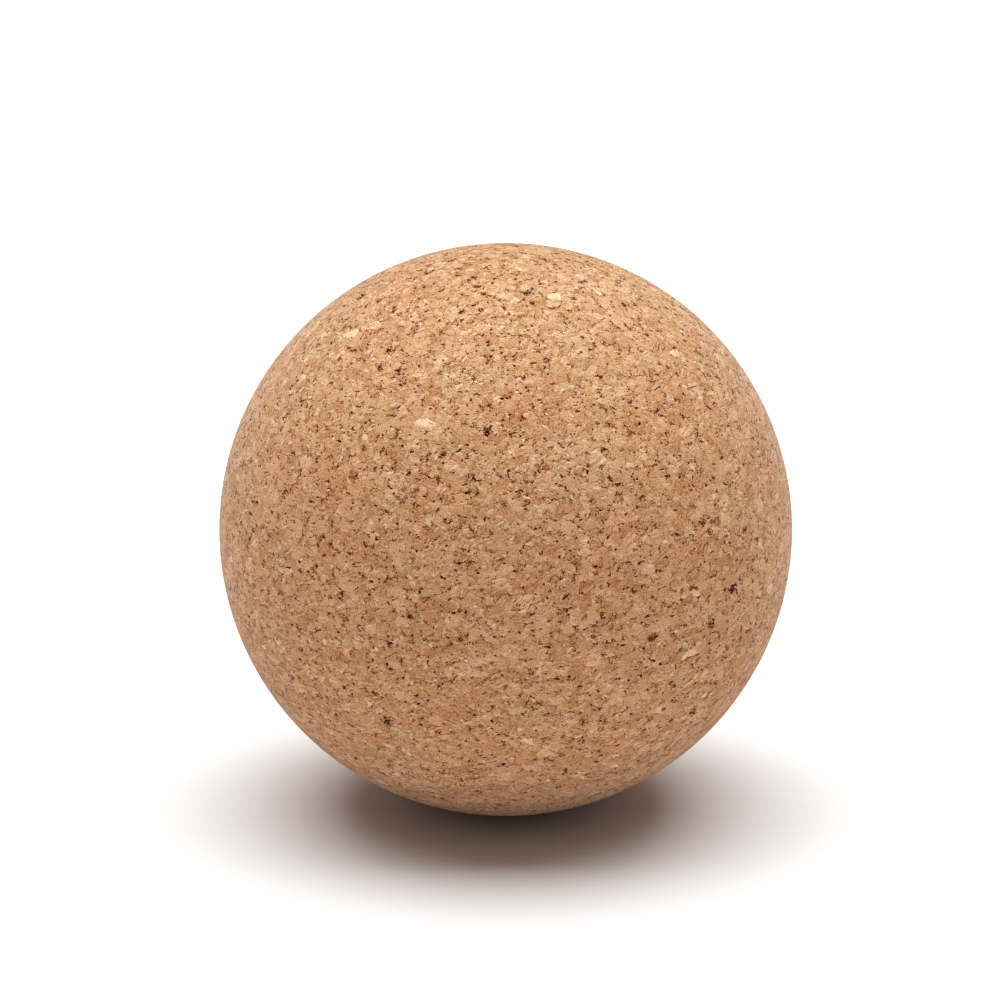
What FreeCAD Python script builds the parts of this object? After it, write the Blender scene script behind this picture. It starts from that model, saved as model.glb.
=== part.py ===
# Massage ball of agglomerated cork, in millimetres.
#
# The real ball is one piece: cork granules are pressed with a little binder into
# a block, and the block is turned and sanded to a solid sphere. There is no core,
# no seam, no cover and nothing that moves, so the model is one body with one size.
#
# The origin is the ball's centre and +Z is up. The ball rests at (0, 0, -radius).

import FreeCAD, Part
import Sketcher
import math
import os

DOCUMENT_NAME = "massage_ball"
PARTS_FOLDER = "parts"
VOLUME_TOLERANCE = 1e-6  # share of the volume by which a sphere may be off

# alias, value, what it sets
DRIVING_SIZES = [
    ("ball_diameter", 65.0, "overall diameter of the sanded ball"),
]


def make_sizes_sheet(document):
    """Puts the driving dimensions into a spreadsheet, one aliased cell in each row."""
    sheet = document.addObject("Spreadsheet::Sheet", "Sizes")
    for row, (alias, value, meaning) in enumerate(DRIVING_SIZES, start=1):
        sheet.set(f"A{row}", alias)
        sheet.set(f"B{row}", str(value))
        sheet.setAlias(f"B{row}", alias)
        sheet.set(f"C{row}", meaning)
    document.recompute()
    return sheet


def origin_plane(body, role):
    """Finds one of the body's own origin planes or axes by its role."""
    return next(feature for feature in body.Origin.OriginFeatures if feature.Role == role)


def add_half_disc_sketch(body, sheet):
    """Draws the turning profile: a half disc whose straight side lies on the Z axis."""
    sketch = body.newObject("Sketcher::SketchObject", "turning_profile")
    sketch.AttachmentSupport = [(origin_plane(body, "XZ_Plane"), "")]
    sketch.MapMode = "FlatFace"

    radius = sheet.ball_diameter / 2
    bottom = FreeCAD.Vector(0, -radius, 0)
    top = FreeCAD.Vector(0, radius, 0)
    full_circle = Part.Circle(FreeCAD.Vector(0, 0, 0), FreeCAD.Vector(0, 0, 1), radius)
    surface = sketch.addGeometry(Part.ArcOfCircle(full_circle, -math.pi / 2, math.pi / 2))
    turning_line = sketch.addGeometry(Part.LineSegment(bottom, top))

    # Sketcher's numbers for the ends and centre of an edge, and for the sketch's axes.
    start, end, centre = 1, 2, 3
    horizontal_axis, vertical_axis = -1, -2
    sketch.addConstraint(Sketcher.Constraint("Coincident", surface, centre, horizontal_axis, start))
    sketch.addConstraint(Sketcher.Constraint("Coincident", surface, start, turning_line, start))
    sketch.addConstraint(Sketcher.Constraint("Coincident", surface, end, turning_line, end))
    sketch.addConstraint(Sketcher.Constraint("PointOnObject", surface, start, vertical_axis))
    sketch.addConstraint(Sketcher.Constraint("PointOnObject", surface, end, vertical_axis))
    size = sketch.addConstraint(Sketcher.Constraint("Diameter", surface, 2 * radius))
    sketch.renameConstraint(size, "ball_diameter")
    sketch.setExpression("Constraints.ball_diameter", f"{sheet.Name}.ball_diameter")
    document = body.Document
    document.recompute()
    return sketch


def make_cork_ball(document, sheet):
    """Turns the half disc round the Z axis into the solid ball."""
    body = document.addObject("PartDesign::Body", "cork_ball")
    body.Label = "cork_ball"
    profile = add_half_disc_sketch(body, sheet)
    turning = body.newObject("PartDesign::Revolution", "turned_sphere")
    turning.Profile = profile
    turning.ReferenceAxis = (profile, ["V_Axis"])
    turning.Angle = 360.0
    profile.Visibility = False
    document.recompute()
    body.Placement = FreeCAD.Placement()
    return body


def check_document(document):
    """Stops if any object of the document failed to recompute."""
    failed = [
        feature.Name
        for feature in document.Objects
        if "Invalid" in feature.State or "Error" in feature.State
    ]
    if failed:
        raise RuntimeError(f"these objects did not recompute: {failed}")


def check_ball(body, sheet):
    """Stops unless the body is one valid solid with the volume and box of a sphere."""
    shape = body.Shape
    if shape.isNull() or not shape.isValid() or len(shape.Solids) != 1:
        raise RuntimeError(f"{body.Label} is not one valid solid")
    diameter = sheet.ball_diameter
    sphere_volume = math.pi * diameter**3 / 6
    if abs(shape.Volume - sphere_volume) > VOLUME_TOLERANCE * sphere_volume:
        raise RuntimeError(f"{body.Label} holds {shape.Volume:.1f} mm3, not {sphere_volume:.1f}")
    print(f"{body.Label}: diameter {diameter:.2f} mm, volume {shape.Volume / 1000:.2f} cm3")


def main():
    document = FreeCAD.newDocument(DOCUMENT_NAME)
    sheet = make_sizes_sheet(document)
    cork_ball = make_cork_ball(document, sheet)
    document.recompute()
    check_document(document)
    check_ball(cork_ball, sheet)
    os.makedirs(PARTS_FOLDER, exist_ok=True)
    for piece in [cork_ball]:
        piece.Shape.exportStep(os.path.join(PARTS_FOLDER, f"{piece.Label}.step"))


main()
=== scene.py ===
# %% [markdown]
# # A cork massage ball
#
# The real object is one solid ball of pressed cork. Cork bark is ground to granules of about a
# millimetre, mixed with a little clear binder, pressed into a block and turned and sanded to a sphere.
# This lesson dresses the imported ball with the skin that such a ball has: granules cut flat by the
# sanding, thin gaps between them, small torn pits, and the fine grain inside each granule.

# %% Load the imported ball
import math

import bmesh
import bpy
import numpy as np
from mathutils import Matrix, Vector


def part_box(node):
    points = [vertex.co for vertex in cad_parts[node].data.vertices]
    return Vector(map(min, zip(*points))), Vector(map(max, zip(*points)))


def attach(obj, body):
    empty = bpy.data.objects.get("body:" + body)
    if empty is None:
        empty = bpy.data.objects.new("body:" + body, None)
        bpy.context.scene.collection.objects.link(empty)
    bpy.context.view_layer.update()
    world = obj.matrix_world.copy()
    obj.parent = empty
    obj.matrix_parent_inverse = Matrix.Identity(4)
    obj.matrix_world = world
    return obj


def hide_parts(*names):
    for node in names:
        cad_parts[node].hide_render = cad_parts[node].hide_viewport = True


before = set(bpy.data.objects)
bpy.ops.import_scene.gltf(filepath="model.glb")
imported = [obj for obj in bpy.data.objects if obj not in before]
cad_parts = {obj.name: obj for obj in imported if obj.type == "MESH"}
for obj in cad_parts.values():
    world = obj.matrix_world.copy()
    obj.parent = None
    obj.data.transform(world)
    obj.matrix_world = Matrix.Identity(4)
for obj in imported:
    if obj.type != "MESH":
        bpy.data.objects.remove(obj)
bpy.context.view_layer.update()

# %% [markdown]
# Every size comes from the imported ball. Its mesh is made of small flat faces, so its box is a hair
# narrower across than it is tall. The skin takes the smallest half width, less a hundredth of a
# millimetre, which keeps it inside the box. Patterns are thought out in millimetres, because cork
# granules are millimetre things.

# %% Sizes of the ball
ball_low, ball_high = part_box("cork_ball")
CLEARANCE = 0.00001
BALL_RADIUS = min((ball_high - ball_low) / 2) - CLEARANCE
BALL_RADIUS_MM = 1000 * BALL_RADIUS
FLOOR_HEIGHT = ball_low.z
print(f"ball radius {BALL_RADIUS_MM:.3f} mm, floor at {1000 * FLOOR_HEIGHT:.2f} mm")

# %% [markdown]
# Node trees are built by hand here, one node at a time. One helper adds any node: it takes the kind,
# the inputs by name or number, and the node's own settings. An input that is given a socket is linked,
# and any other value is typed in. The same helper serves materials and Geometry Nodes.

# %% One helper for every node


def add(tree, kind, inputs=None, **settings):
    """Adds one node with its settings, and links or sets each input."""
    node = tree.nodes.new(kind)
    for name, value in settings.items():
        setattr(node, name, value)
    for key, value in (inputs or {}).items():
        if isinstance(value, bpy.types.NodeSocket):
            tree.links.new(value, node.inputs[key])
        else:
            node.inputs[key].default_value = value
    return node


# %% [markdown]
# Colours are written as the sRGB hex values that a paint chip or a screen shows. Shaders work in
# linear light, so one function turns the one into the other.

# %% Colours from hex


def srgb(hex_value):
    """The linear RGBA of an sRGB hex colour."""
    channels = [int(hex_value[i : i + 2], 16) / 255 for i in (1, 3, 5)]
    linear = [c / 12.92 if c <= 0.04045 else ((c + 0.055) / 1.055) ** 2.4 for c in channels]
    return (*linear, 1.0)


print("middle grey in linear light:", round(srgb("#808080")[0], 3))

# %% [markdown]
# ## The granule pattern
#
# A granule is a chip of bark about 1 mm across, pressed against its neighbours until they fit.
# A three-dimensional Voronoi pattern has just that shape: cells that fill space and meet on flat faces,
# cut open where the ball's surface passes through. Two sizes are mixed, because ground cork is sieved
# only roughly: some cells stay whole, and the others are broken into a finer set.
#
# Inside a granule the cork tears along its own grain, so each granule is split again into thin flakes.
# They come from a third Voronoi pattern, squeezed into plates. Pressing has laid the plates down, so
# each granule turns its own plates any way round the vertical, and tilts them only so far.
#
# The gaps between granules are what the eye notices most. They are closed along most of a border and
# open into thin wedges here and there, so their width follows a noise along the border. A gap opens
# where its noise passes one level and is widest at another, and both levels are named below.
#
# The pattern is written once, as a function that adds its nodes to any tree. Geometry Nodes use it to
# press real pits into the mesh, and the material uses it to colour the same pits.

# %% Sizes of granules, flakes and gaps, in millimetres
COARSE_GRANULE = 1.4
FINE_GRANULE = 0.78
FLAKE_LENGTH = 0.8
FLAKE_BREADTH = 0.5
FLAKE_THICKNESS = 0.16
SQUEEZE = 1.3
MOST_TILT = math.radians(50)
LAYER_WIDTH = 0.22
BORDER_WANDER = 0.3
BORDER_RAGGEDNESS = 0.06
WIDEST_GAP = 0.21
WIDEST_CRACK = 0.05
print(f"granules {FINE_GRANULE} and {COARSE_GRANULE} mm, flakes {FLAKE_THICKNESS} mm thick")

# %% [markdown]
# Granule borders wander, so a point is shifted by a slow and a quick noise before it is sorted into
# cells. Without that every border would be a straight cut.

# %% Shift the point
BORDER_BENDS = 0.6
BORDER_RAGS = 3.2

# A noise strays about a quarter from its middle, so this gain makes its push about one.
NOISE_GAIN = 4


def centred_noise(tree, place, scale):
    """A noise with three channels that stray to both sides of zero."""
    noise = add(tree, "ShaderNodeTexNoise", {"Vector": place, "Scale": scale, "Detail": 1.0})
    middle = (0.5, 0.5, 0.5)
    return add(
        tree, "ShaderNodeVectorMath", {0: noise.outputs["Color"], 1: middle}, operation="SUBTRACT"
    ).outputs[0]


def pushed(tree, place, noise, distance):
    """The place, moved by the noise by about the distance."""
    gain = (NOISE_GAIN * distance,) * 3
    return add(
        tree, "ShaderNodeVectorMath", {0: noise, 1: gain, 2: place}, operation="MULTIPLY_ADD"
    ).outputs[0]


print(f"borders wander {BORDER_WANDER} mm and are ragged by {BORDER_RAGGEDNESS} mm")

# %% [markdown]
# Each sieve size is a Voronoi pattern used twice: once for the cell's random number, and once for how
# far the point is from a border. A coarse cell stays whole when its own random number says so.

# %% Sort the point into granules
BROKEN_SHARE = 0.6


def sieve(tree, point, size):
    """The random colour of the cell round a point, and its distance from the border in mm."""
    scale = {"Vector": point, "Scale": 1 / size}
    cells = add(tree, "ShaderNodeTexVoronoi", scale, feature="F1")
    borders = add(tree, "ShaderNodeTexVoronoi", scale, feature="DISTANCE_TO_EDGE")
    border_mm = add(
        tree, "ShaderNodeMath", {0: borders.outputs["Distance"], 1: size}, operation="MULTIPLY"
    )
    return cells.outputs["Color"], border_mm.outputs[0]


def granules(tree, point):
    """The granule's random colour and the distance from its border, with both sizes mixed."""
    coarse_chance, coarse_border = sieve(tree, point, COARSE_GRANULE)
    fine_chance, fine_border = sieve(tree, point, FINE_GRANULE)
    dice = add(tree, "ShaderNodeSeparateXYZ", {0: coarse_chance})
    whole = add(
        tree, "ShaderNodeMath", {0: dice.outputs[2], 1: BROKEN_SHARE}, operation="GREATER_THAN"
    ).outputs[0]
    nearer = add(tree, "ShaderNodeMath", {0: coarse_border, 1: fine_border}, operation="MINIMUM")
    border = add(
        tree, "ShaderNodeMix", {0: whole, 2: nearer.outputs[0], 3: coarse_border}, data_type="FLOAT"
    )
    chance = add(
        tree, "ShaderNodeMix", {0: whole, 6: fine_chance, 7: coarse_chance}, data_type="RGBA"
    )
    return chance.outputs[2], border.outputs[0]


print(f"{100 * BROKEN_SHARE:.0f}% of the coarse granules are broken into fine ones")

# %% [markdown]
# Flakes are cells of a space that is turned by the granule's own random colour and then squeezed, so
# every granule has its own grain. The growth layers are a noise squeezed the same way.

# %% Split a granule into flakes
LAYER_BENDS = 0.5


def flakes(tree, point, chance):
    """The flake's random colour, the distances from its middle and its border, and the layers."""
    spread = (2 * MOST_TILT, 2 * MOST_TILT, math.tau)
    turn = add(
        tree,
        "ShaderNodeVectorMath",
        {0: chance, 1: spread, 2: (-MOST_TILT, -MOST_TILT, 0)},
        operation="MULTIPLY_ADD",
    )
    turned = add(
        tree,
        "ShaderNodeVectorRotate",
        {"Vector": point, "Rotation": turn.outputs[0]},
        rotation_type="EULER_XYZ",
    ).outputs[0]
    plate = (1 / FLAKE_LENGTH, 1 / FLAKE_BREADTH, 1 / FLAKE_THICKNESS)
    squeezed = add(tree, "ShaderNodeVectorMath", {0: turned, 1: plate}, operation="MULTIPLY")
    unit_cells = {"Vector": squeezed.outputs[0], "Scale": 1.0}
    cells = add(tree, "ShaderNodeTexVoronoi", unit_cells, feature="F1")
    borders = add(tree, "ShaderNodeTexVoronoi", unit_cells, feature="DISTANCE_TO_EDGE")
    border_mm = add(
        tree,
        "ShaderNodeMath",
        {0: borders.outputs["Distance"], 1: FLAKE_THICKNESS},
        operation="MULTIPLY",
    )
    sheet = (LAYER_BENDS, LAYER_BENDS, 1 / LAYER_WIDTH)
    layered = add(tree, "ShaderNodeVectorMath", {0: turned, 1: sheet}, operation="MULTIPLY")
    layers = add(
        tree, "ShaderNodeTexNoise", {"Vector": layered.outputs[0], "Scale": 1.0, "Detail": 1.0}
    )
    return cells.outputs["Color"], cells.outputs["Distance"], border_mm.outputs[0], layers.outputs[0]


print(f"a flake is {FLAKE_LENGTH} by {FLAKE_BREADTH} by {FLAKE_THICKNESS} mm")

# %% [markdown]
# An opening's half width follows a noise: the border shuts it where the noise is low, and it is widest
# where the noise peaks. The noise has one or two bumps to the millimetre, so openings come in clusters
# with calm cork between them. At the lower of its two levels the width is a hair below nothing, so an
# opening starts thin. What is left after the distance from the border is taken away is positive inside
# the opening and negative outside it. Wedges run along granule borders, and hair cracks along any
# border, of granules or of flakes.

# %% Open wedges and hair cracks along the borders
WEDGE_NOISE = {"Scale": 1.6, "Detail": 2.0}
WEDGE_LEVELS = (0.60, 0.82)
SHUT_WEDGE = -0.01
CRACK_NOISE = {"Scale": 1.15, "Detail": 3.0, "Roughness": 0.6}
CRACK_LEVELS = (0.52, 0.75)
SHUT_CRACK = -0.005


def opening(tree, place, border, noise_settings, levels, least, widest):
    """How deep in an opening along a border the place is, in mm, and less than 0 outside one."""
    noise = add(tree, "ShaderNodeTexNoise", {"Vector": place, **noise_settings})
    width = add(
        tree,
        "ShaderNodeMapRange",
        {"Value": noise.outputs[0], 1: levels[0], 2: levels[1], 3: least, 4: widest},
        clamp=False,
    )
    return add(tree, "ShaderNodeMath", {0: width.outputs[0], 1: border}, operation="SUBTRACT").outputs[0]


print(f"wedges open about {WIDEST_GAP} mm and cracks about {WIDEST_CRACK} mm to each side")

# %% [markdown]
# Where a flake has been plucked out it leaves a small deep hole. It happens to a few flakes, and mostly
# to those by a border, so a flake's chance is weighed against its distance from the border. Reaches are
# in flake widths: below nothing there is no hole. HOLE_STRETCH turns them into an opening's millimetres.

# %% Pluck out flakes
LOW_CHANCE = 0.62
REACH_AT_LOW_CHANCE = -0.20
REACH_AT_BEST = 0.13
NEAR_BORDER = 0.45
MORE_BY_BORDER = 0.25
LESS_FAR_FROM_IT = -0.35
HOLE_STRETCH = 1.5


def plucked(tree, flake_chance, from_middle, border):
    """How deep in a plucked flake's hole a place is, in mm, and less than 0 outside one."""
    dice = add(tree, "ShaderNodeSeparateXYZ", {0: flake_chance})
    weakness = add(
        tree,
        "ShaderNodeMapRange",
        {"Value": border, 1: 0.0, 2: NEAR_BORDER, 3: MORE_BY_BORDER, 4: LESS_FAR_FROM_IT},
        clamp=True,
    )
    own_reach = add(
        tree,
        "ShaderNodeMapRange",
        {"Value": dice.outputs[2], 1: LOW_CHANCE, 2: 1.0, 3: REACH_AT_LOW_CHANCE, 4: REACH_AT_BEST},
        clamp=False,
    )
    reach = add(
        tree, "ShaderNodeMath", {0: own_reach.outputs[0], 1: weakness.outputs[0]}, operation="ADD"
    )
    hole = add(tree, "ShaderNodeMath", {0: reach.outputs[0], 1: from_middle}, operation="SUBTRACT")
    stretch = FLAKE_THICKNESS * HOLE_STRETCH
    return add(tree, "ShaderNodeMath", {0: hole.outputs[0], 1: stretch}, operation="MULTIPLY").outputs[0]


print(f"a hole reaches {REACH_AT_BEST + MORE_BY_BORDER:.2f} flake widths at most")

# %% [markdown]
# Besides the small holes there are a few larger pits, where a whole granule has come away. They are
# about two centimetres apart. Points are strewn through the ball eight millimetres apart, and the
# few that the surface happens to pass near become pits, which also makes each a different size.

# %% Strew the large pits
PIT_SPREAD = 8.0
LARGE_PIT = 1.2
PIT_RAGGEDNESS = 0.6


def large_pits(tree, rough_place):
    """How deep in a large pit a place is, in mm, and less than 0 outside one."""
    strewn = add(
        tree, "ShaderNodeTexVoronoi", {"Vector": rough_place, "Scale": 1 / PIT_SPREAD}, feature="F1"
    )
    return add(
        tree,
        "ShaderNodeMath",
        {0: strewn.outputs["Distance"], 1: -PIT_SPREAD, 2: LARGE_PIT / 2},
        operation="MULTIPLY_ADD",
    ).outputs[0]


print(f"large pits up to {LARGE_PIT} mm across, from points {PIT_SPREAD} mm apart")

# %% [markdown]
# Now the pieces are put together. Pressing squeezes the mix from top to bottom, so every granule lies a
# little flat: the place is stretched upwards before it is sorted, and only the large pits use the true
# place.

# %% The whole pattern


def granule_pattern(tree, place):
    """Adds the pattern's nodes. place is a point on the ball in mm; returns its sockets by name."""
    pressed = add(
        tree, "ShaderNodeVectorMath", {0: place, 1: (1.0, 1.0, SQUEEZE)}, operation="MULTIPLY"
    ).outputs[0]
    slow = centred_noise(tree, pressed, BORDER_BENDS)
    quick = centred_noise(tree, pressed, BORDER_RAGS)
    point = pushed(tree, pushed(tree, pressed, slow, BORDER_WANDER), quick, BORDER_RAGGEDNESS)

    chance, border = granules(tree, point)
    flake_chance, from_middle, flake_border, layers = flakes(tree, point, chance)

    wedge = opening(tree, pressed, border, WEDGE_NOISE, WEDGE_LEVELS, SHUT_WEDGE, WIDEST_GAP)
    hole = plucked(tree, flake_chance, from_middle, border)
    pit = large_pits(tree, pushed(tree, place, quick, PIT_RAGGEDNESS))
    small = add(tree, "ShaderNodeMath", {0: wedge, 1: hole}, operation="MAXIMUM")
    gap = add(tree, "ShaderNodeMath", {0: small.outputs[0], 1: pit}, operation="MAXIMUM")

    any_border = add(tree, "ShaderNodeMath", {0: border, 1: flake_border}, operation="MINIMUM")
    crack = opening(
        tree, pressed, any_border.outputs[0], CRACK_NOISE, CRACK_LEVELS, SHUT_CRACK, WIDEST_CRACK
    )
    return {
        "chance": chance,
        "border": border,
        "flake_chance": flake_chance,
        "flake_border": flake_border,
        "layers": layers,
        "gap": gap.outputs[0],
        "crack": crack,
    }


# %% [markdown]
# ## The ball's mesh
#
# A pit is a hole in the surface, and only real depth gives it a shadow and a nicked outline, so the
# larger gaps are pressed into the mesh. Geometry Nodes do it: a fine ico sphere, which has no poles,
# is pushed in along its own radius by as much as the pattern says. The push is only ever inward, as
# sanding leaves the granules' tops on one sphere.

# %% The tree that presses the pits
PIT_DEPTH_MM = 0.40
FULL_DEPTH_GAP = 0.22
SPHERE_STEPS = 9


def skin_tree(material):
    """Geometry Nodes: an ico sphere with the pattern's gaps pressed in."""
    tree = bpy.data.node_groups.new("pressed_skin", "GeometryNodeTree")
    face = tree.interface
    face.new_socket("Radius", in_out="INPUT", socket_type="NodeSocketFloat")
    face.new_socket("Pit Depth", in_out="INPUT", socket_type="NodeSocketFloat")
    face.new_socket("Steps", in_out="INPUT", socket_type="NodeSocketInt")
    face.new_socket("Geometry", in_out="OUTPUT", socket_type="NodeSocketGeometry")
    given = add(tree, "NodeGroupInput")
    sphere = add(
        tree,
        "GeometryNodeMeshIcoSphere",
        {"Radius": given.outputs["Radius"], "Subdivisions": given.outputs["Steps"]},
    )
    where = add(tree, "GeometryNodeInputPosition")
    outward = add(tree, "ShaderNodeVectorMath", {0: where.outputs[0]}, operation="NORMALIZE")
    place = add(
        tree, "ShaderNodeVectorMath", {0: outward.outputs[0], "Scale": BALL_RADIUS_MM}, operation="SCALE"
    )
    pattern = granule_pattern(tree, place.outputs[0])
    depth = add(
        tree,
        "ShaderNodeMapRange",
        {"Value": pattern["gap"], 1: 0.0, 2: FULL_DEPTH_GAP, 3: 0.0, 4: given.outputs["Pit Depth"]},
        clamp=True,
        interpolation_type="SMOOTHSTEP",
    )
    inward = add(tree, "ShaderNodeMath", {0: depth.outputs[0], 1: -1.0}, operation="MULTIPLY")
    push = add(
        tree, "ShaderNodeVectorMath", {0: outward.outputs[0], "Scale": inward.outputs[0]}, operation="SCALE"
    )
    pressed = add(
        tree, "GeometryNodeSetPosition", {"Geometry": sphere.outputs["Mesh"], "Offset": push.outputs[0]}
    )
    smooth = add(tree, "GeometryNodeSetShadeSmooth", {"Geometry": pressed.outputs[0]})
    real = add(tree, "GeometryNodeRealizeInstances", {"Geometry": smooth.outputs[0]})
    dressed = add(tree, "GeometryNodeSetMaterial", {"Geometry": real.outputs[0], "Material": material})
    add(tree, "NodeGroupOutput", {"Geometry": dressed.outputs[0]})
    return tree


print(f"pits up to {PIT_DEPTH_MM} mm deep")

# %% [markdown]
# ## Agglomerated cork, sanded
#
# Cork is matt, with a faint bloom at grazing angles, because the sanding leaves cut cell walls standing
# like very short nap. Its tones run on one scale, from the dark of an open gap, which is partly painted
# shade, through tan to the pale face of a freshly cut granule: darker cork is also browner and paler
# cork is also greyer. So the pattern first adds up one number, the tone, and a colour ramp then turns
# the tone into cork.

# %% The tone scale of cork
CORK_TONES = [
    # The darkest tones are reached in cracks and gaps, where they are partly painted shade.
    (0.00, "#480b00"),
    (0.25, "#863f02"),
    (0.50, "#bc8d63"),
    (0.75, "#dab28e"),
    (1.00, "#f6d8ba"),
]
MIDDLE_TONE = 0.641
print("cork runs from", CORK_TONES[0][1], "to", CORK_TONES[-1][1], "around tone", MIDDLE_TONE)

# %% [markdown]
# The tone and the relief are both sums of many small effects, so both are written as lists. Each row
# says what is read, its low and its high, and what is added to the sum at each.

# %% Add up a list of effects


def summed(tree, start, effects):
    """A chain of nodes that adds every effect to a starting value."""
    total = start
    for socket, low, high, at_low, at_high in effects:
        step = add(
            tree,
            "ShaderNodeMapRange",
            {"Value": socket, 1: low, 2: high, 3: at_low, 4: at_high},
            clamp=True,
        )
        total = add(tree, "ShaderNodeMath", {0: step.outputs[0], 1: total}, operation="ADD").outputs[0]
    return total


# %% [markdown]
# Granules and flakes differ in tone, and a few of both are very pale. Growth layers show as stripes,
# faintly in most granules and plainly in about a third. Borders are a little darker. Cracks and gaps
# are dark, partly from the cork's own darker inner cells and partly from painted shade for their depth.
# Beside a gap there is a pale rim, which is a painted highlight of light caught on its edge.

# %% The colour of the tone
PLAIN_LAYERS_FROM = 0.65
FAINT_STRIPES, PLAIN_STRIPES = 0.15, 1.2


def toned_cork(tree, pattern, dice, flake_dice, speck):
    """The cork's colour before its hue is varied."""
    stripe = add(tree, "ShaderNodeMath", {0: pattern["layers"], 1: 0.5}, operation="SUBTRACT")
    plainness = add(
        tree,
        "ShaderNodeMapRange",
        {"Value": dice.outputs[1], 1: PLAIN_LAYERS_FROM, 2: 1.0, 3: FAINT_STRIPES, 4: PLAIN_STRIPES},
        clamp=True,
    )
    striped = add(
        tree, "ShaderNodeMath", {0: stripe.outputs[0], 1: plainness.outputs[0]}, operation="MULTIPLY"
    )
    tone = summed(
        tree,
        MIDDLE_TONE,
        [
            (dice.outputs[0], 0.0, 1.0, -0.115, 0.115),
            (flake_dice.outputs[0], 0.0, 1.0, -0.045, 0.045),
            (flake_dice.outputs[0], 0.92, 0.93, 0.0, 0.12),
            (striped.outputs[0], -1.0, 1.0, -1.0, 1.0),
            (speck, 0.3, 0.7, -0.15, 0.15),
            (pattern["border"], 0.0, 0.06, -0.08, 0.0),
            (pattern["flake_border"], 0.0, 0.04, -0.08, 0.0),
            # Hair cracks: dark paint, partly the cork's darker inner cells, partly painted shade in the
            # crack.
            (pattern["crack"], 0.0, 0.015, 0.0, -0.54),
            # Painted highlight: a pale rim just outside each gap, for light caught on its edge.
            (pattern["gap"], -0.09, -0.03, 0.0, 0.08),
            # Gaps and pits: dark paint, partly the cork's darker inner cells, partly painted shade in the
            # recess.
            (pattern["gap"], -0.02, 0.03, 0.0, -0.64),
            (dice.outputs[0], 0.994, 0.995, 0.0, 0.17),
        ],
    )
    scale = add(tree, "ShaderNodeValToRGB", {0: tone})
    ramp = scale.color_ramp
    for stop, shade in CORK_TONES[1:-1]:
        ramp.elements.new(stop).color = srgb(shade)
    ramp.elements[0].color = srgb(CORK_TONES[0][1])
    ramp.elements[-1].color = srgb(CORK_TONES[-1][1])
    return scale.outputs[0]


# %% [markdown]
# Some granules are ruddier and some yellower, and so are whole patches of the ball. The lower half is
# painted ruddier and the top paler. That is painted light, standing in for the warm bounce from the
# floor below and the white light from above. One number says how ruddy a place is, and a ramp of two
# faint tints turns it into a cast that the colour is multiplied by.

# %% The cast of hue
HUE_PATCHES = 0.13
GRANULE_SWING = 0.32
PATCH_SWING = 0.3
# Painted light: how ruddy the bottom and the top are made, for a warm floor bounce below and white light
# above.
PAINTED_LIGHT_RUDDY_BELOW, PAINTED_LIGHT_RUDDY_ON_TOP = 0.85, 0.05
YELLOW_CAST = (0.985, 1.0, 0.95, 1.0)
RUDDY_CAST = (1.0, 0.868, 0.79, 1.0)


def hue_cast(tree, place, outward, dice):
    """A tint, yellowish to ruddy, by granule and by patch, and by height as painted light."""
    patch = add(tree, "ShaderNodeTexNoise", {"Vector": place, "Scale": HUE_PATCHES, "Detail": 2.0})
    height = add(tree, "ShaderNodeSeparateXYZ", {0: outward})
    ruddiness = summed(
        tree,
        0.0,
        [
            (dice.outputs[2], 0.0, 1.0, -GRANULE_SWING, GRANULE_SWING),
            (patch.outputs[0], 0.3, 0.7, -PATCH_SWING, PATCH_SWING),
            # Painted light: ruddier towards the bottom, paler towards the top.
            (height.outputs[2], 0.0, 1.0, PAINTED_LIGHT_RUDDY_BELOW, PAINTED_LIGHT_RUDDY_ON_TOP),
        ],
    )
    cast = add(tree, "ShaderNodeValToRGB", {0: ruddiness})
    cast.color_ramp.elements[0].color = YELLOW_CAST
    cast.color_ramp.elements[1].color = RUDDY_CAST
    return cast.outputs[0]


print(f"ruddiness: {PAINTED_LIGHT_RUDDY_BELOW} below and {PAINTED_LIGHT_RUDDY_ON_TOP} on top")

# %% [markdown]
# The relief is in millimetres. Each granule stands a little differently and its edge is rounded, and
# each gap has a sunken rim. Grain finer than a tenth of a millimetre wouldn't show, so the specks are
# drawn a little coarser than that.

# %% The relief
SPECKS = 7.5
MILLIMETRE = 0.001


def sanded_relief(tree, pattern, dice, flake_dice, speck):
    """A bump normal for the sanded granules."""
    relief = summed(
        tree,
        0.0,
        [
            (dice.outputs[2], 0.0, 1.0, 0.0, 0.03),
            (flake_dice.outputs[1], 0.0, 1.0, 0.0, 0.015),
            (pattern["border"], 0.0, 0.16, -0.03, 0.0),
            (pattern["flake_border"], 0.0, 0.08, -0.01, 0.0),
            (speck, 0.3, 0.7, 0.0, 0.03),
            (pattern["gap"], -0.05, 0.0, 0.0, -0.04),
        ],
    )
    bump = add(tree, "ShaderNodeBump", {"Height": relief, "Distance": MILLIMETRE, "Strength": 1.0})
    return bump.outputs[0]


print(f"specks: {SPECKS} to the millimetre")

# %% [markdown]
# The material reads the place on the ball from Object coordinates, brought back onto the sphere, so the
# walls of a pit have the colour of the rim above them. Sanded cork has no gloss to speak of: a rough
# shader, hardly any specular, and a broad sheen for the nap.

# %% The cork material


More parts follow.
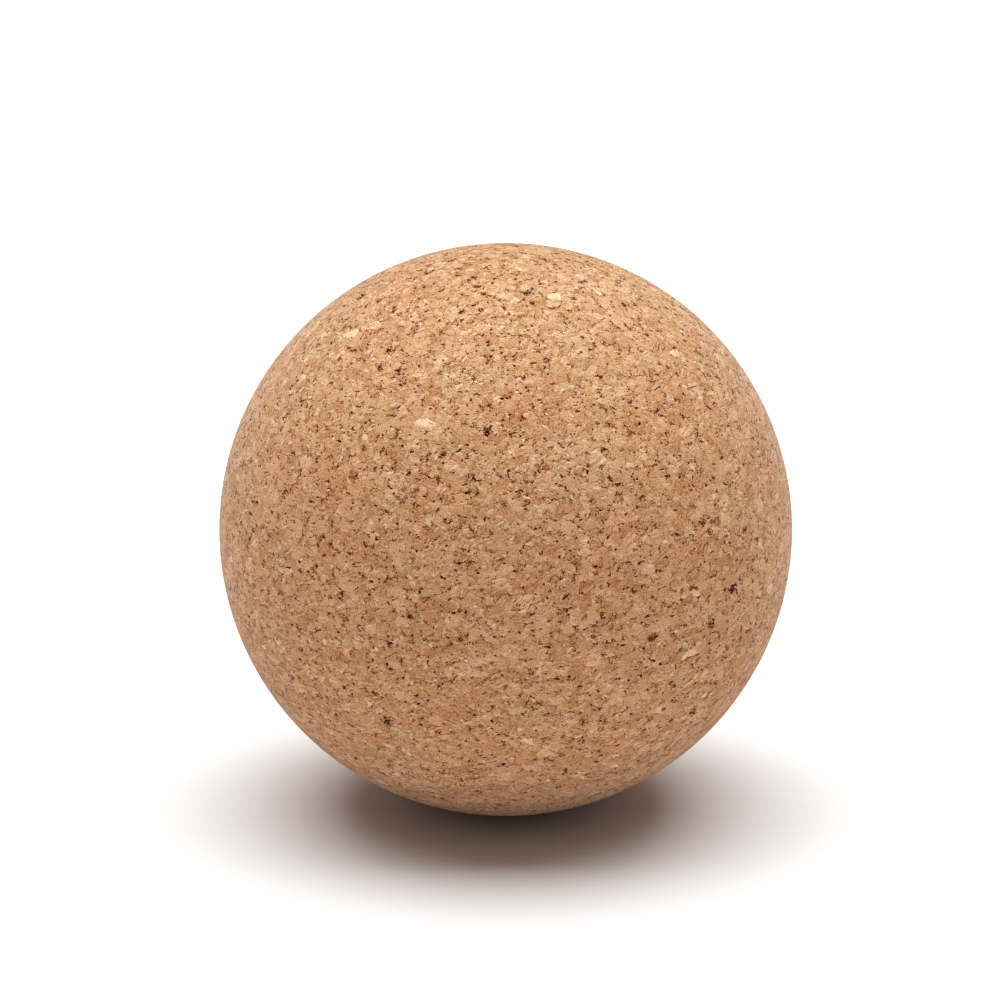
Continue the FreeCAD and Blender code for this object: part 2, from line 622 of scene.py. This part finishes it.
def agglomerated_cork():
    """The ball's material: tinted granules with a painted-light ruddier lower half, stripes, gaps darkened
    partly with painted shade, and a matt sanded face.
    """
    material = bpy.data.materials.new("agglomerated_cork_sanded")
    material.use_nodes = True
    tree = material.node_tree
    tree.nodes.clear()
    at = add(tree, "ShaderNodeTexCoord")
    outward = add(tree, "ShaderNodeVectorMath", {0: at.outputs["Object"]}, operation="NORMALIZE")
    place = add(
        tree, "ShaderNodeVectorMath", {0: outward.outputs[0], "Scale": BALL_RADIUS_MM}, operation="SCALE"
    ).outputs[0]
    pattern = granule_pattern(tree, place)
    dice = add(tree, "ShaderNodeSeparateXYZ", {0: pattern["chance"]})
    flake_dice = add(tree, "ShaderNodeSeparateXYZ", {0: pattern["flake_chance"]})
    speck = add(
        tree, "ShaderNodeTexNoise", {"Vector": place, "Scale": SPECKS, "Detail": 1.0, "Roughness": 0.6}
    ).outputs[0]
    colour = toned_cork(tree, pattern, dice, flake_dice, speck)
    cast = hue_cast(tree, place, outward.outputs[0], dice)
    tinted = add(
        tree, "ShaderNodeMix", {0: 1.0, 6: colour, 7: cast}, data_type="RGBA", blend_type="MULTIPLY"
    )
    cork = add(
        tree,
        "ShaderNodeBsdfPrincipled",
        {
            "Base Color": tinted.outputs[2],
            "Roughness": 0.8,
            "Normal": sanded_relief(tree, pattern, dice, flake_dice, speck),
            "Specular IOR Level": 0.05,
            "Sheen Weight": 0.38,
            "Sheen Roughness": 0.3,
            "Sheen Tint": srgb("#fff2e4"),
        },
    )
    add(tree, "ShaderNodeOutputMaterial", {0: cork.outputs[0]})
    return material


cork = agglomerated_cork()
print("cork material:", len(cork.node_tree.nodes), "nodes")

# %% [markdown]
# The tree runs once, on an empty object, and its result is taken as a plain mesh. A very fine sphere is
# needed to catch the pits, but far too fine between them, so Decimate then merges the flat parts and
# leaves most of the triangles where the surface breaks.

# %% Press the ball and thin its flat parts
TRIANGLE_LIMIT = 190000


def frozen(holder, name):
    """The evaluated shape of an object as a plain mesh."""
    graph = bpy.context.evaluated_depsgraph_get()
    mesh = bpy.data.meshes.new_from_object(holder.evaluated_get(graph), depsgraph=graph)
    mesh.name = name
    return mesh


holder = bpy.data.objects.new("pressing", bpy.data.meshes.new("pressing"))
bpy.context.scene.collection.objects.link(holder)
press = holder.modifiers.new("press", "NODES")
press_tree = skin_tree(cork)
sizes = {"Radius": BALL_RADIUS, "Pit Depth": PIT_DEPTH_MM / 1000, "Steps": SPHERE_STEPS}
press.node_group = press_tree
for item in press_tree.interface.items_tree:
    if item.in_out == "INPUT":
        press[item.identifier] = sizes[item.name]
dense = frozen(holder, "dense_skin")
holder.modifiers.remove(press)
print("pressed:", len(dense.polygons), "triangles")

holder.data = dense
if len(dense.polygons) > TRIANGLE_LIMIT:
    thin = holder.modifiers.new("thin", "DECIMATE")
    thin.ratio = TRIANGLE_LIMIT / len(dense.polygons)
    skin = frozen(holder, "granulated_ball")
    holder.modifiers.remove(thin)
else:
    skin = dense
ball = bpy.data.objects.new("granulated_ball", skin)
bpy.context.scene.collection.objects.link(ball)
bpy.data.objects.remove(holder)
print("thinned:", len(skin.polygons), "triangles")

# %% [markdown]
# ## A flat map of the skin
#
# A viewer that knows no node trees shows the skin as a flat picture, so the ball needs a map onto a
# square. Blender's own unwrapping would cut a pitted skin to shreds. An octahedral map keeps it whole:
# the upper half of the ball fills a diamond in the middle of the square, the lower half folds out into
# the four corners, and every square millimetre of cork gets the same share of the picture.
#
# Faces that straddle a fold would be smeared across it, so the mesh is first cut along both folds. A
# corner that lies within SNAP of a fold counts as on it, because a cut beside it would leave slivers.

# %% Lay the skin out on a square
MAP_EDGE = 0.003
SNAP = 0.00002


def cut_on_folds(mesh):
    """Cuts a mesh along the planes x = 0 and y = 0 and keeps it all triangles."""
    work = bmesh.new()
    work.from_mesh(mesh)
    for across in ((1, 0, 0), (0, 1, 0)):
        everything = work.verts[:] + work.edges[:] + work.faces[:]
        bmesh.ops.bisect_plane(work, geom=everything, dist=SNAP, plane_co=(0, 0, 0), plane_no=across)
    bmesh.ops.triangulate(work, faces=work.faces[:])
    work.to_mesh(mesh)
    work.free()


def map_octahedron(mesh, name):
    """Gives a ball-like triangle mesh an equal-area octahedral map."""
    points = np.empty(3 * len(mesh.vertices))
    mesh.vertices.foreach_get("co", points)
    points = points.reshape(-1, 3)
    corners = np.empty(len(mesh.loops), dtype=int)
    mesh.loops.foreach_get("vertex_index", corners)
    corner_points = points[corners]
    middles = corner_points.reshape(-1, 3, 3).mean(axis=1)
    side = np.repeat(np.where(middles[:, :2] < 0, -1.0, 1.0), 3, axis=0)
    unit = corner_points / np.linalg.norm(corner_points, axis=1)[:, None]
    out = np.sqrt(1 - np.minimum(np.abs(unit[:, 2]), 1))
    turn = np.arctan2(np.abs(unit[:, 1]), np.abs(unit[:, 0])) * 2 / np.pi
    spot = np.stack([out * (1 - turn), out * turn], axis=1)
    spot = np.where(unit[:, 2:] < 0, 1 - spot[:, ::-1], spot) * side
    flat = 0.5 + spot * (0.5 - MAP_EDGE)
    mesh.uv_layers.new(name=name).data.foreach_set("uv", flat.ravel())
    return flat


cut_on_folds(skin)
flat = map_octahedron(skin, "OFBake")
legs = flat.reshape(-1, 3, 2)[:, 1:] - flat.reshape(-1, 3, 2)[:, :1]
areas = abs(legs[:, 0, 0] * legs[:, 1, 1] - legs[:, 0, 1] * legs[:, 1, 0]) / 2
print(f"flat map: {len(skin.polygons)} triangles cover {areas.sum():.3f} of the square")

# %% Join it to the frame
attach(ball, "root")
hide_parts("cork_ball")
print(f"{ball.name} rides on root in place of cork_ball")

# %% [markdown]
# ## The studio
#
# A plain white floor, one large soft light overhead, and a little light from all round. The floor is
# bright enough to go white, so only the ball's own soft shadow is seen on it. Sizes are in metres and
# the light's power is in watts.

# %% The floor
FLOOR_REACH = 1.3
FLOOR_CORNERS = 96
FLOOR_SHADE = "#eaeaea"
FLOOR_ROUGHNESS = 0.6

turns = [math.tau * i / FLOOR_CORNERS for i in range(FLOOR_CORNERS)]
rim = [(FLOOR_REACH * math.cos(turn), FLOOR_REACH * math.sin(turn), FLOOR_HEIGHT) for turn in turns]
floor_mesh = bpy.data.meshes.new("studio_floor")
floor_mesh.from_pydata(rim, [], [range(FLOOR_CORNERS)])
floor = bpy.data.objects.new("studio_floor", floor_mesh)
bpy.context.scene.collection.objects.link(floor)
white = bpy.data.materials.new("white_card")
white.use_nodes = True
card = white.node_tree.nodes["Principled BSDF"]
card.inputs["Base Color"].default_value = srgb(FLOOR_SHADE)
card.inputs["Roughness"].default_value = FLOOR_ROUGHNESS
card.inputs["Specular IOR Level"].default_value = 0.0
floor_mesh.materials.append(white)
print(f"floor: {2 * FLOOR_REACH:.1f} m across")

# %% The soft light overhead
SOFTBOX_WIDTH = 3.47
SOFTBOX_DEPTH = 2.59
SOFTBOX_POWER = 138
SOFTBOX_BACK = 0.19
SOFTBOX_HEIGHT = 2.51

softbox = bpy.data.lights.new("softbox", "AREA")
softbox.shape = "RECTANGLE"
softbox.size = SOFTBOX_WIDTH
softbox.size_y = SOFTBOX_DEPTH
softbox.energy = SOFTBOX_POWER
lamp = bpy.data.objects.new("softbox", softbox)
bpy.context.scene.collection.objects.link(lamp)
lamp.location = (0, SOFTBOX_BACK, SOFTBOX_HEIGHT)
lamp.rotation_euler = (Vector((0, 0, 0)) - lamp.location).to_track_quat("-Z", "Y").to_euler()
print(f"softbox: {SOFTBOX_WIDTH} by {SOFTBOX_DEPTH} m, {SOFTBOX_POWER} W")

# %% [markdown]
# The surroundings light the ball only faintly, but past the floor's edge they must look white. So they
# are white to the camera and dim to everything else.

# %% The surroundings
DIM = 0.18

world = bpy.data.worlds.new("surroundings")
world.use_nodes = True
air = world.node_tree
air.nodes.clear()
path = add(air, "ShaderNodeLightPath")
strength = add(
    air, "ShaderNodeMapRange", {"Value": path.outputs["Is Camera Ray"], 1: 0.0, 2: 1.0, 3: DIM, 4: 1.0}
)
surround = add(air, "ShaderNodeBackground", {"Color": srgb("#ffffff"), "Strength": strength.outputs[0]})
add(air, "ShaderNodeOutputWorld", {0: surround.outputs[0]})
bpy.context.scene.world = world
bpy.context.scene.view_settings.view_transform = "Standard"
print("surroundings:", DIM, "of full white")

# %% [markdown]
# ## The camera
#
# The camera looks down on the ball at a low angle through a long lens. Its distance follows from how
# large the ball is in the frame, and its aim from where the ball's middle is. Both are shares of the
# frame's width.

# %% Camera
CAMERA_ELEVATION = math.radians(16.6)
LENS_MM = 150.0
SENSOR_MM = 36.0
BALL_SHARE = 0.573
MIDDLE_RIGHT = 0.0057
MIDDLE_BELOW = 0.0293

view_slope = SENSOR_MM / 2 / LENS_MM * BALL_SHARE
distance = BALL_RADIUS / math.sin(math.atan(view_slope))
frame_width = 2 * BALL_RADIUS / BALL_SHARE
up = Vector((0, math.sin(CAMERA_ELEVATION), math.cos(CAMERA_ELEVATION)))
aim = up * MIDDLE_BELOW * frame_width + Vector((-MIDDLE_RIGHT * frame_width, 0, 0))
lens = bpy.data.cameras.new("studio_camera")
lens.lens = LENS_MM
lens.sensor_width = SENSOR_MM
eye = bpy.data.objects.new("studio_camera", lens)
bpy.context.scene.collection.objects.link(eye)
eye.location = (0, -distance * math.cos(CAMERA_ELEVATION), distance * math.sin(CAMERA_ELEVATION))
eye.rotation_euler = (aim - eye.location).to_track_quat("-Z", "Y").to_euler()
bpy.context.scene.camera = eye
print(f"camera {distance * 1000:.0f} mm from the ball's centre")
